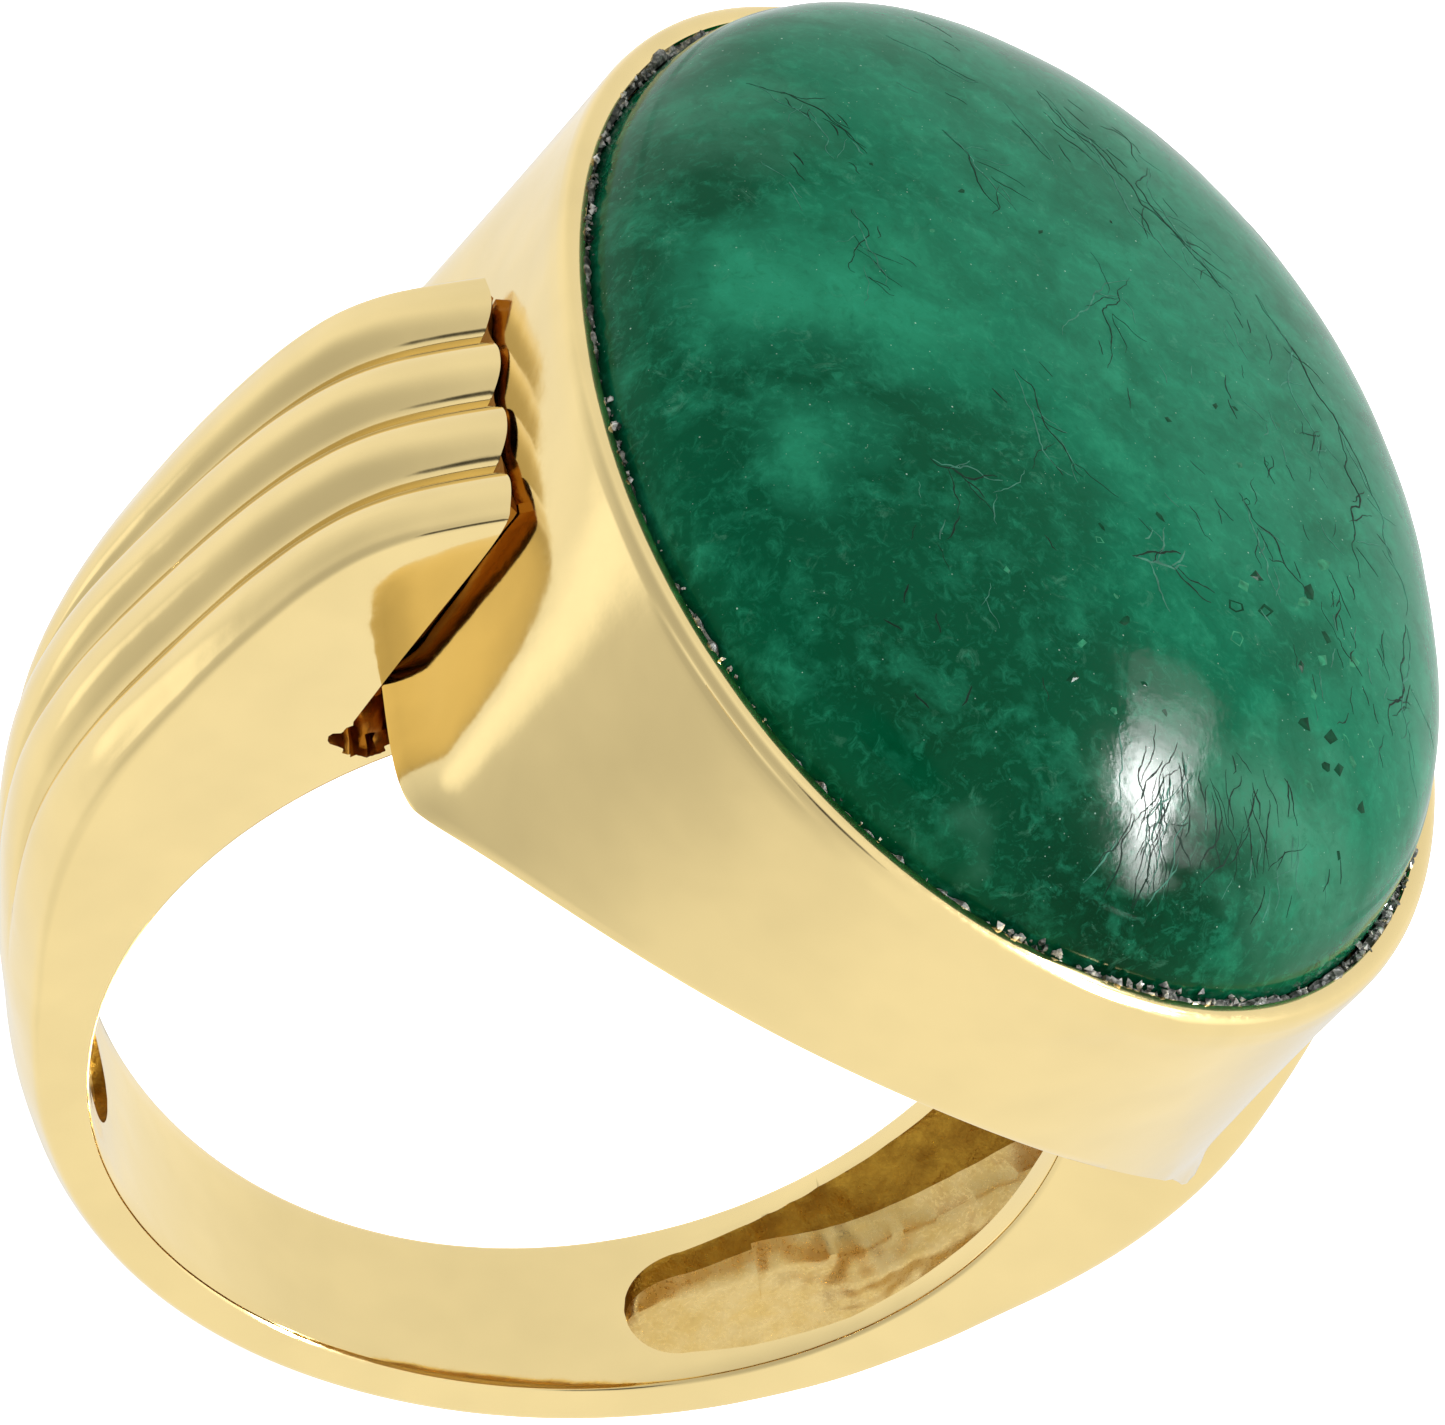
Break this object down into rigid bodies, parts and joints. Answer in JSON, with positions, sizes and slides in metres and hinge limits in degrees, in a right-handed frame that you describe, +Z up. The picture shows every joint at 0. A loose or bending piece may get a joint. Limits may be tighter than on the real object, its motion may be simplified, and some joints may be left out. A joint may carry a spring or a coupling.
{
  "type": "cocktail ring",
  "caption": "Oval cabochon in a tapered metal collet, held between two fluted hollow shoulders on a tapering finger band.",
  "frame": {"origin": "centre of the finger hole, on its axis and midway along it", "axes": "+Z up through the stone, the finger hole along Y, the shoulders towards +X and -X"},
  "size_m": [0.0243, 0.0242, 0.0276],
  "materials": {
    "stone": "polished green gemstone with cracks and pale clouds",
    "bedding": "rough dark setting cement",
    "collet_metal": "polished yellow gold",
    "ledge_metal": "unpolished yellow gold",
    "shank_metal": "polished yellow gold",
    "shoulder_metal": "polished yellow gold outside, cast finish inside",
    "solder": "rough tarnished gold solder"
  },
  "bodies": {
    "root": {"cabochon": "stone", "girdle_bedding": "bedding", "collet": "collet_metal", "bearing_ledge": "ledge_metal", "shank": "shank_metal", "left_shoulder": "shoulder_metal", "right_shoulder": "shoulder_metal", "left_collet_solder": "solder", "right_collet_solder": "solder"}
  },
  "joints": []
}
